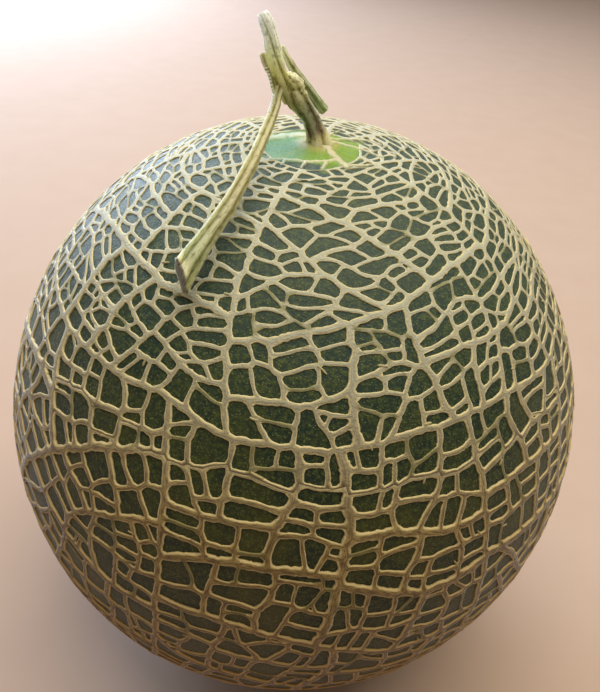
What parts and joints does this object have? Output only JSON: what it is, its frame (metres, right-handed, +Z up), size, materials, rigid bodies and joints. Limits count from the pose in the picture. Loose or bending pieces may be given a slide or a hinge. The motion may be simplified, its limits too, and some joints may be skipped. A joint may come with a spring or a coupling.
{
  "type": "cantaloupe melon",
  "caption": "Whole netted cantaloupe melon with its cut, forked stem, resting on a small flat spot under the fruit.",
  "frame": {"origin": "middle of the flat spot that the fruit rests on, on the resting surface", "axes": "+Z up along the fruit's axis, from the flat spot to the stalk end; the stem's long arm reaches towards -Y"},
  "size_m": [0.1493, 0.1492, 0.1757],
  "materials": {
    "netted_rind": "corky tan net over a satin dark green skin",
    "dried_stalk": "dry ribbed green stalk, pale at its ridges and cut ends"
  },
  "bodies": {
    "root": {"fruit": "netted_rind", "stem": "dried_stalk"}
  },
  "joints": []
}
